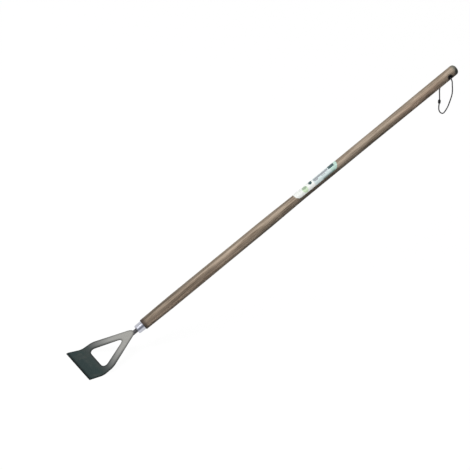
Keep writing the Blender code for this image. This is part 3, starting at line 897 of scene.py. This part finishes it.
@dataclass
class Neck:
    """Round rod from under the plate's tip into the handle, with its fillet weld.

    Two rings part the rod's side, one above its end and one below the shoulder.
    """

    chamfer: float = 0.0012
    ring_above: float = 0.01
    ring_below: float = -0.03
    sides: int = 48
    tang_length: float = 0.095
    tang_end: float = 0.0060
    tang_point: float = 0.0040
    tang_chamfer: float = 0.0020
    weld_leg: float = 0.0036
    weld_length: float = 0.0300
    weld_from_tip: float = 0.0095
    ripple: float = 0.0016
    ripple_depth: float = 0.10
    ripple_lean: float = 0.009
    nose: float = 0.0050
    nose_least: float = 0.08

    def build(self, head: PressedHead, rod_look: bpy.types.Material, weld_look: bpy.types.Material) -> None:
        """Make the rod and the weld.

        Args:
            head: The plate that the rod lies under.
            rod_look: Finish of the rod.
            weld_look: Finish of the weld.
        """
        radius = FIT.rod / 2.0
        low = -(FIT.ferrule + FIT.rod_shown + FIT.rod_under)
        profile = [(0.0, low), (radius - self.chamfer, low)]
        profile += rounded((radius - self.chamfer, low + self.chamfer), self.chamfer, -90.0, 0.0, 4)[1:]
        profile += [(radius, place) for place in (low + self.ring_above, self.ring_below, 0.0)]
        profile += [(self.tang_end / 2.0, self.tang_length - self.tang_chamfer),
                    (self.tang_point / 2.0, self.tang_length), (0.0, self.tang_length)]
        rod = piece("neck_rod_drawn", spun(profile, self.sides), rod_look, LINE.frame())
        long, wide = FIT.rod_under * 2.0, radius * 4.0
        place = Matrix.Translation((FIT.gap - long / 2.0, 0.0, wide / 2.0 - FIT.gap))
        block = bmesh.new()
        bmesh.ops.create_cube(block, size=1.0, matrix=place @ Matrix.Diagonal((long, wide, wide, 1.0)))
        carve(rod, piece("flat", block, None, self.under_frame(head, 0.0)))
        seat(rod, Body.TOOL, Slot.NECK, "neck_rod")
        bead = piece("neck_weld_bead", self.bead(), weld_look, self.under_frame(head, self.weld_from_tip))
        carve(bead, plug("sleeve", radius + FIT.gap, low - FIT.gap, 0.0, self.sides, LINE.frame()))
        seat(bead, Body.TOOL, Slot.NECK, "neck_weld")

    def under_frame(self, head: PressedHead, from_tip: float) -> Matrix:
        """Frame on the underside of the arms near the tip: local +X runs to the tip."""
        place = head.frame() @ head.bent(Vector((head.length() - from_tip, 0.0, -head.sheet)))
        return Matrix.Translation(place) @ Matrix.Rotation(-head.arm_rise, 4, "Y")

    def bead(self) -> bmesh.types.BMesh:
        """Fillet weld on both sides of the rod: a rippled bead, round at its ends."""
        radius = FIT.rod / 2.0
        near = rounded((radius, 0.0), self.weld_leg, 0.0, -90.0, 7)
        outline = near + [(-y, z) for y, z in reversed(near)]
        steps = round(self.weld_length / self.ripple) * 4
        shape = bmesh.new()
        lofted(shape, [[shape.verts.new((self.weld_length * (step / steps - 1.0), y, z)) for y, z in outline]
                       for step in range(steps + 1)])
        for vert in shape.verts:
            x, y, z = vert.co
            wave = 0.5 + 0.5 * math.cos(math.tau * (x / self.ripple + abs(y) / self.ripple_lean))
            from_end = max(0.0, min(x + self.weld_length, -x, self.nose)) / self.nose
            taper = max(self.nose_least, math.sqrt(1.0 - (1.0 - from_end) ** 2))
            scale = (1.0 - self.ripple_depth * (1.0 - wave)) * taper
            beyond = max(0.0, abs(y) - radius)
            vert.co = (x, math.copysign(abs(y) - beyond * (1.0 - scale), y), z * scale - FIT.gap)
        return shape


# Ferrule


@dataclass
class FerruleCup:
    """Conical cup over the spigot, with its nail."""

    neck: float = 0.0274
    shoulder: float = 0.0286
    wall: float = 0.0014
    end_round: float = 0.0038
    lip_round: float = 0.0005
    lip_share: float = 0.3
    sides: int = 96
    pin: float = 0.0016
    pin_head: float = 0.0036
    pin_height: float = 0.0008
    pin_length: float = 0.0052
    pin_below: float = 0.0095
    pin_tip: float = 0.0010
    pin_point: float = 0.3
    pin_turns: tuple = (0.2, 0.5, 0.8, 1.1, 1.35)
    pin_sides: int = 32
    pin_sharp: float = 50.0
    bore_depth: float = 0.0040
    bore_over: float = 0.0020
    bore_sides: int = 16

    def radius(self, below: float) -> float:
        """Outer radius at a distance below the shoulder."""
        return (self.shoulder + (self.neck - self.shoulder) * below / FIT.ferrule) / 2.0

    def pin_frame(self) -> Matrix:
        """Frame on the cup's underside, local +Z pointing out."""
        out = -LINE.above
        place = LINE.at(-self.pin_below) + out * (self.radius(self.pin_below) + FIT.gap)
        return placed(place, LINE.along, out.cross(LINE.along), out)

    def pin_bore(self, name: str, depth: float) -> bpy.types.Object:
        """Make the drill of the nail's hole."""
        return plug(name, self.pin / 2.0 + FIT.gap, -depth, self.bore_over, self.bore_sides, self.pin_frame())

    def build(self, look: bpy.types.Material) -> None:
        """Make the cup and the nail."""
        hole = FIT.rod / 2.0 + FIT.gap
        end = -FIT.ferrule
        floor = end + self.wall
        outer, top = self.radius(FIT.ferrule), self.radius(0.0)
        profile = [(hole, floor), (hole, end)]
        profile += rounded((outer - self.end_round, end + self.end_round), self.end_round, -90.0, 0.0, 10)
        profile += [(self.radius(FIT.ferrule / 2.0), end / 2.0), (top, -FIT.gap - self.lip_round),
                    (top - self.lip_round * self.lip_share, -FIT.gap - self.lip_round * self.lip_share),
                    (top - self.lip_round, -FIT.gap), (top - self.wall, -FIT.gap),
                    (self.radius(FIT.ferrule - self.wall) - self.wall, floor), (hole, floor)]
        cup = piece("ferrule_cup", spun(profile, self.sides), look, LINE.frame())
        carve(cup, self.pin_bore("bore", self.bore_depth))
        seat(cup, Body.TOOL, Slot.FERRULE, "ferrule")
        shank, head = self.pin / 2.0, self.pin_head / 2.0
        profile = [(0.0, -self.pin_length), (shank * self.pin_point, -self.pin_length),
                   (shank, self.pin_tip - self.pin_length), (shank, 0.0), (head, 0.0)]
        profile += [(head * math.cos(turn), self.pin_height * math.sin(turn)) for turn in self.pin_turns]
        profile.append((0.0, self.pin_height))
        nail = piece("ferrule_nail", spun(profile, self.pin_sides), look, self.pin_frame(), self.pin_sharp)
        seat(nail, Body.TOOL, Slot.FERRULE, "ferrule_pin")


# Handle


@dataclass
class TurnedHandle:
    """Long turned handle with spigot, blind bore, dome and countersunk hanging hole.

    Each station is a distance from the shoulder and a diameter.
    """

    shoulder_round: float = 0.0016
    stations: tuple = ((0.0, 0.0334), (0.110, 0.0357), (0.440, 0.0343), (0.620, 0.0302), (0.880, 0.0307),
                       (1.084, 0.0320))
    dome: float = 0.0120
    dome_steps: int = 14
    dome_power: float = 0.9
    hole: float = 0.0070
    hole_sides: int = 40
    sink: float = 0.0112
    sink_depth: float = 0.0022
    bore_beyond: float = 0.0040
    rings: int = 110
    sides: int = 72

    def radius(self, distance: float) -> float:
        """Radius at a distance from the shoulder."""
        for (low, low_size), (high, high_size) in zip(self.stations, self.stations[1:]):
            if distance < high:
                share = max(0.0, (distance - low) / (high - low))
                ease = share * share * (3.0 - 2.0 * share)
                return (low_size + (high_size - low_size) * ease) / 2.0
        return self.stations[-1][1] / 2.0

    def drill(self) -> bpy.types.Object:
        """Make the drill of the hanging hole, countersunk on both sides."""
        hole_at = LINE.length - LINE.hole_from_top
        mouth = self.radius(hole_at)
        beyond = mouth + self.sink_depth
        half = [(self.hole / 2.0, mouth - self.sink_depth), (self.sink - self.hole / 2.0, beyond)]
        other = [(radius, -height) for radius, height in reversed(half)]
        across = Matrix.Translation(LINE.at(hole_at)) @ Matrix.Rotation(-math.pi / 2.0, 4, "X")
        profile = [(0.0, -beyond), *other, *half, (0.0, beyond)]
        return piece("drill", spun(profile, self.hole_sides), None, across)

    def build(self, ferrule: FerruleCup, neck: Neck, look: bpy.types.Material) -> None:
        """Make the handle.

        Args:
            ferrule: The cup on its spigot.
            neck: The rod whose tang it holds.
            look: Its finish.
        """
        inset = ferrule.wall + FIT.gap
        spigot = FIT.ferrule - inset
        bore = neck.tang_length + self.bore_beyond
        wide = FIT.rod / 2.0 + FIT.gap
        profile = [(0.0, bore), (neck.tang_end / 2.0 + FIT.gap, bore), (wide, 0.0), (wide, -spigot),
                   (ferrule.radius(spigot) - inset, -spigot), (ferrule.radius(0.0) - inset, 0.0)]
        corner = (self.radius(0.0) - self.shoulder_round, self.shoulder_round)
        profile += rounded(corner, self.shoulder_round, -90.0, 0.0, 5)
        dome_from = LINE.length - self.dome
        for ring in range(1, self.rings + 1):
            height = self.shoulder_round + (dome_from - self.shoulder_round) * ring / self.rings
            profile.append((self.radius(height), height))
        for step in range(1, self.dome_steps):
            turn = math.pi / 2.0 * step / self.dome_steps
            profile.append((self.radius(dome_from) * math.cos(turn) ** self.dome_power,
                            dome_from + self.dome * math.sin(turn)))
        profile.append((0.0, LINE.length))
        handle = piece("handle_turned", spun(profile, self.sides), look, LINE.frame())
        carve(handle, self.drill(), ferrule.pin_bore("pilot", ferrule.pin_length + FIT.gap))
        seat(handle, Body.TOOL, Slot.ASH, "handle")


@dataclass
class WaistLabel:
    """Film wrapped over the top of the waist, with rounded corners."""

    start: float = 0.583
    length: float = 0.160
    arc: float = math.radians(140.0)
    corner: float = 0.0172
    corner_steps: int = 10
    thickness: float = 0.0003
    cells_long: int = 20
    cells_half: int = 24
    sharp: float = 60.0

    @property
    def middle(self) -> float:
        """Distance of its middle from the shoulder."""
        return self.start + self.length / 2.0

    def build(self, handle: TurnedHandle, look: bpy.types.Material) -> None:
        """Make the label: a flat sheet, cut into a grid and rolled round the handle."""
        waist = handle.radius(self.middle)
        side = self.arc * waist / 2.0
        shape = bmesh.new()
        verts = [shape.verts.new((x, y, 0.0)) for x, y in
                 ((0.0, -side), (self.length, -side), (self.length, side), (0.0, side))]
        shape.faces.new(verts)
        bevelled(shape, verts, self.corner, self.corner_steps)
        bmesh.ops.translate(shape, verts=doubled(shape), vec=(0.0, 0.0, self.thickness))
        divide(shape, 0, [self.length * step / self.cells_long for step in range(1, self.cells_long)])
        half = self.cells_half
        divide(shape, 1, [side * step / half for step in range(1 - half, half)])
        film = shape.loops.layers.uv.new("film")
        for face in shape.faces:
            for corner in face.loops:
                flat = corner.vert.co
                corner[film].uv = (flat.x / self.length, flat.y / (2.0 * side) + 0.5)
        for vert in shape.verts:
            along, across, height = vert.co
            turn = math.pi / 2.0 + across / waist
            radius = handle.radius(self.start + along) + FIT.gap + height
            vert.co = Vector((-radius * math.sin(turn), -radius * math.cos(turn), self.start + along))
        label = piece("handle_label_film", shape, look, LINE.frame(), self.sharp)
        seat(label, Body.TOOL, Slot.LABEL, "handle_label")


# Hanging loop


@dataclass
class HangingLoop:
    """Cord through the hole, tied into a loop with a barrel knot.

    The route is in millimetres from the middle of the hole, on the world's axes.
    """

    diameter: float = 0.0036
    sides: int = 14
    step: float = 0.0030
    span_steps: int = 20
    sharp: float = 60.0
    knot_turns: float = 3.6
    knot_radius: float = 0.0029
    knot_cord: float = 0.0031
    knot_sides: int = 12
    turn_steps: int = 16
    core_steps: int = 8
    tuck_share: float = 1.0 / 7.0
    tuck_radius: float = 0.45
    tuck_rise: float = 1.6
    route: tuple = (
        (-15.4, 30.4, -119.1), (-17.2, 28.8, -127.8), (-17.4, 27.2, -138.0), (-14.6, 25.3, -145.2),
        (-11.7, 23.9, -148.3), (-8.4, 22.7, -149.5), (-5.2, 21.9, -148.6), (-2.4, 21.2, -145.6),
        (1.6, 19.8, -138.7), (6.8, 16.3, -124.7), (9.9, 12.2, -108.7), (10.8, -2.2, -73.4),
        (7.1, -12.5, -50.9), (4.9, -17.0, -38.7), (3.0, -19.8, -26.7), (1.6, -21.7, -12.2),
        (0.0, -19.1, -4.2), (0.0, -13.7, -1.7), (0.0, -6.0, -1.7), (0.0, 6.0, -1.7), (0.0, 13.7, -1.7),
        (0.0, 19.5, -4.3), (-1.2, 23.7, -12.0), (-4.6, 29.0, -27.0), (-12.0, 34.2, -72.4),
        (-12.2, 34.0, -87.8), (-13.0, 32.2, -102.8))

    def span(self, before: Vector, start: Vector, end: Vector, after: Vector) -> list[Vector]:
        """Points of one smooth span, its end left out (centripetal Catmull-Rom)."""
        lead, here, follow = ((start - before).length ** 0.5, (end - start).length ** 0.5,
                              (after - end).length ** 0.5)
        leave = ((start - before) / lead - (end - before) / (lead + here) + (end - start) / here) * here
        reach = ((end - start) / here - (after - start) / (here + follow) + (after - end) / follow) * here
        points = []
        for step in range(self.span_steps):
            share = step / self.span_steps
            square, cube = share * share, share ** 3
            points.append(start * (2.0 * cube - 3.0 * square + 1.0) + leave * (cube - 2.0 * square + share)
                          + end * (3.0 * square - 2.0 * cube) + reach * (cube - square))
        return points

    def points(self) -> tuple[list[Vector], float]:
        """Points along the cord, evenly spaced, and its length."""
        centre = LINE.at(LINE.length - LINE.hole_from_top)
        route = [centre + Vector(point) / 1000.0 for point in self.route]
        route = [route[0] * 2.0 - route[1]] + route + [route[-1] * 2.0 - route[-2]]
        fine = []
        for window in zip(route, route[1:], route[2:], route[3:]):
            fine += self.span(*window)
        fine.append(route[-2])
        lengths = [0.0]
        for first, second in zip(fine, fine[1:]):
            lengths.append(lengths[-1] + (second - first).length)
        count = round(lengths[-1] / self.step)
        points = []
        place = 0
        for step in range(count + 1):
            want = lengths[-1] * step / count
            while place < len(fine) - 2 and lengths[place + 1] < want:
                place += 1
            share = (want - lengths[place]) / (lengths[place + 1] - lengths[place])
            points.append(fine[place].lerp(fine[place + 1], share))
        return points, sum((second - first).length for first, second in zip(points, points[1:]))

    def tube(self, points: list[Vector], diameter: float, sides: int) -> bmesh.types.BMesh:
        """Round tube along points, closed at both ends, with its braid map.

        Args:
            points: The line that it follows.
            diameter: Its thickness.
            sides: Faces round it.

        Returns:
            The shape.
        """
        shape = bmesh.new()
        braid = shape.loops.layers.uv.new("braid")
        rows, travel, side = [], [0.0], None
        for index, point in enumerate(points):
            ahead = points[min(index + 1, len(points) - 1)] - points[max(index - 1, 0)]
            ahead.normalize()
            if side is None:
                side = ahead.orthogonal().normalized()
            side = (side - ahead * side.dot(ahead)).normalized()
            made = bmesh.ops.create_circle(shape, cap_ends=False, segments=sides, radius=diameter / 2.0,
                                           matrix=placed(point, side, ahead.cross(side), ahead))
            rows.append(made["verts"])
            if index:
                travel.append(travel[-1] + (point - points[index - 1]).length)
        *walls, start, end = lofted(shape, rows)
        for number, face in enumerate(walls):
            row, turn = divmod(number, sides)
            marks = ((row, turn), (row, turn + 1), (row + 1, turn + 1), (row + 1, turn))
            for corner, (at, around) in zip(face.loops, marks):
                corner[braid].uv = (travel[at], around / sides)
        for face, length in ((start, travel[0]), (end, travel[-1])):
            for turn, corner in enumerate(face.loops):
                corner[braid].uv = (length, (turn or sides) / sides)
        return shape

    def knot(self, points: list[Vector]) -> bmesh.types.BMesh:
        """Barrel knot: a strand wound round a straight core between the cord's two ends."""
        run = points[-1] - points[0]
        length = run.length - 2.0 * FIT.gap
        place = Matrix.Translation(points[0] + run.normalized() * FIT.gap)
        place = place @ run.to_track_quat("Z", "Y").to_matrix().to_4x4()
        inset = self.knot_cord / 2.0 * self.tuck_rise
        steps = round(self.knot_turns * self.turn_steps)
        coil = []
        for step in range(steps + 1):
            share = step / steps
            turn = math.tau * self.knot_turns * share
            tuck = min(1.0, share / self.tuck_share, (1.0 - share) / self.tuck_share)
            radius = self.knot_radius * (self.tuck_radius + (1.0 - self.tuck_radius) * tuck)
            height = inset + (length - 2.0 * inset) * share
            coil.append(place @ Vector((radius * math.cos(turn), radius * math.sin(turn), height)))
        core = [place @ Vector((0.0, 0.0, length * step / self.core_steps))
                for step in range(self.core_steps + 1)]
        return joined(self.tube(coil, self.knot_cord, self.knot_sides),
                      self.tube(core, self.diameter, self.knot_sides))

    def build(self, look: bpy.types.Material) -> None:
        points, length = self.points()
        tube = self.tube(points, self.diameter, self.sides)
        cord = piece("hanging_cord_braid", tube, look, None, self.sharp)
        knot = piece("cord_knot_barrel", self.knot(points), look, None, self.sharp)
        seat(cord, Body.LOOP, Slot.CORD, "hanging_cord")
        seat(knot, Body.LOOP, Slot.CORD, "cord_knot")


# Studio


@dataclass
class Studio:
    """Pale floor, soft lamps and the camera at the photograph's angle.

    Each lamp has a name, a place, a power in watts and whether gloss shows it.
    """

    right: tuple = (0.8957, -0.4446, 0.0)
    back: tuple = (-0.3686, -0.7425, 0.5592)
    centre: tuple = (-0.49409, 0.03679, -0.27687)
    width: float = 1.3839
    distance: float = 6.0
    clip_end: float = 60.0
    floor_at: float = -0.56350
    floor_size: float = 30.0
    floor_light: float = 1.19
    floor_share: float = 0.82
    floor_matt: Colour = (0.22, 0.22, 0.22)
    white: Colour = (1.0, 1.0, 1.0)
    ambient: float = 0.10
    lamps: tuple = (("key", (-3.02, -0.69, 3.90), 215.0, False), ("sheen", (-2.95, -0.95, 3.92), 55.0, True))
    lamp_size: float = 2.4
    aim: tuple = (-0.4, 0.0, -0.3)

    def camera(self) -> None:
        """Make the camera: a parallel view, 470 pixels for the whole width."""
        data = bpy.data.cameras.new("camera")
        data.type = "ORTHO"
        data.ortho_scale = self.width
        data.clip_end = self.clip_end
        right, back = Vector(self.right), Vector(self.back)
        up = back.cross(right)
        made = bpy.data.objects.new("camera", data)
        made.matrix_world = placed(Vector(self.centre) + back * self.distance, right.normalized(),
                                   up.normalized(), back.normalized())
        bpy.context.scene.collection.objects.link(made)
        bpy.context.scene.camera = made

    def lamp(self, name: str, place: tuple, power: float, mirrored: bool) -> None:
        """Add a soft square lamp aimed at the tool.

        Args:
            name: Its name.
            place: Where it stands.
            power: Its power in watts.
            mirrored: Whether gloss shows it.
        """
        data = bpy.data.lights.new(name, "AREA")
        data.shape = "SQUARE"
        data.size = self.lamp_size
        data.energy = power
        made = bpy.data.objects.new(name, data)
        made.location = place
        made.visible_glossy = mirrored
        made.rotation_euler = (Vector(self.aim) - Vector(place)).to_track_quat("-Z", "Y").to_euler()
        bpy.context.scene.collection.objects.link(made)

    def seen(self, shader: Shader) -> Value:
        """1 for camera, glossy and transmission rays."""
        camera = shader.node("LightPath", output="Is Camera Ray")
        return camera.larger(camera.other("Is Glossy Ray")).larger(camera.other("Is Transmission Ray"))

    def floor(self) -> None:
        """Make the floor: white to the camera with a faint shadow, and clear from below."""
        shape = bmesh.new()
        bmesh.ops.create_grid(shape, x_segments=1, y_segments=1, size=self.floor_size,
                              matrix=Matrix.Translation((0.0, 0.0, self.floor_at)))
        shader = Shader("pale_floor")
        white = shader.node("Emission", sockets={"Color": self.white, "Strength": self.floor_light})
        matt = shader.node("BsdfDiffuse", sockets={"Color": self.floor_matt})
        clear = shader.node("BsdfTransparent")
        shown = shader.node("MixShader", sockets={0: self.seen(shader) * self.floor_share, 1: matt, 2: white})
        below = shader.node("NewGeometry", output="Backfacing")
        shader.close(shader.node("MixShader", sockets={0: below, 1: shown, 2: clear}))
        made = piece("floor", shape, shader.owner)

    def world(self) -> None:
        """Make the world: white where it is seen or mirrored, dimmer as light."""
        shader = Shader("studio", "worlds")
        level = shader.node("MapRange", sockets={"Value": self.seen(shader), "To Min": self.ambient})
        shader.close(shader.node("Background", sockets={"Color": self.white, "Strength": level}), "World")
        bpy.context.scene.world = shader.owner

    def build(self) -> None:
        """Make the whole studio."""
        self.camera()
        self.world()
        self.floor()
        for lamp in self.lamps:
            self.lamp(*lamp)
        bpy.context.scene.view_settings.view_transform = "Standard"


def main() -> None:
    """Build every sub-assembly in order."""
    logging.basicConfig(level=logging.INFO, format="%(name)s %(message)s")
    Studio().build()
    HangingLoop().build(BraidedCord().make())
    head = PressedHead()
    head.build(PressedSteel().make())
    neck = Neck()
    neck.build(head, NeckSteel().make("neck_steel_drawn", 0.2), NeckSteel().make("neck_steel_weld", 0.8))
    ferrule = FerruleCup()
    ferrule.build(PolishedFerrule().make())
    handle = TurnedHandle()
    label = WaistLabel()
    handle.build(ferrule, neck, StainedAsh(LINE.reach(label.middle)).make())
    label.build(handle, LabelFilm().make())


if __name__ == "__main__":
    main()
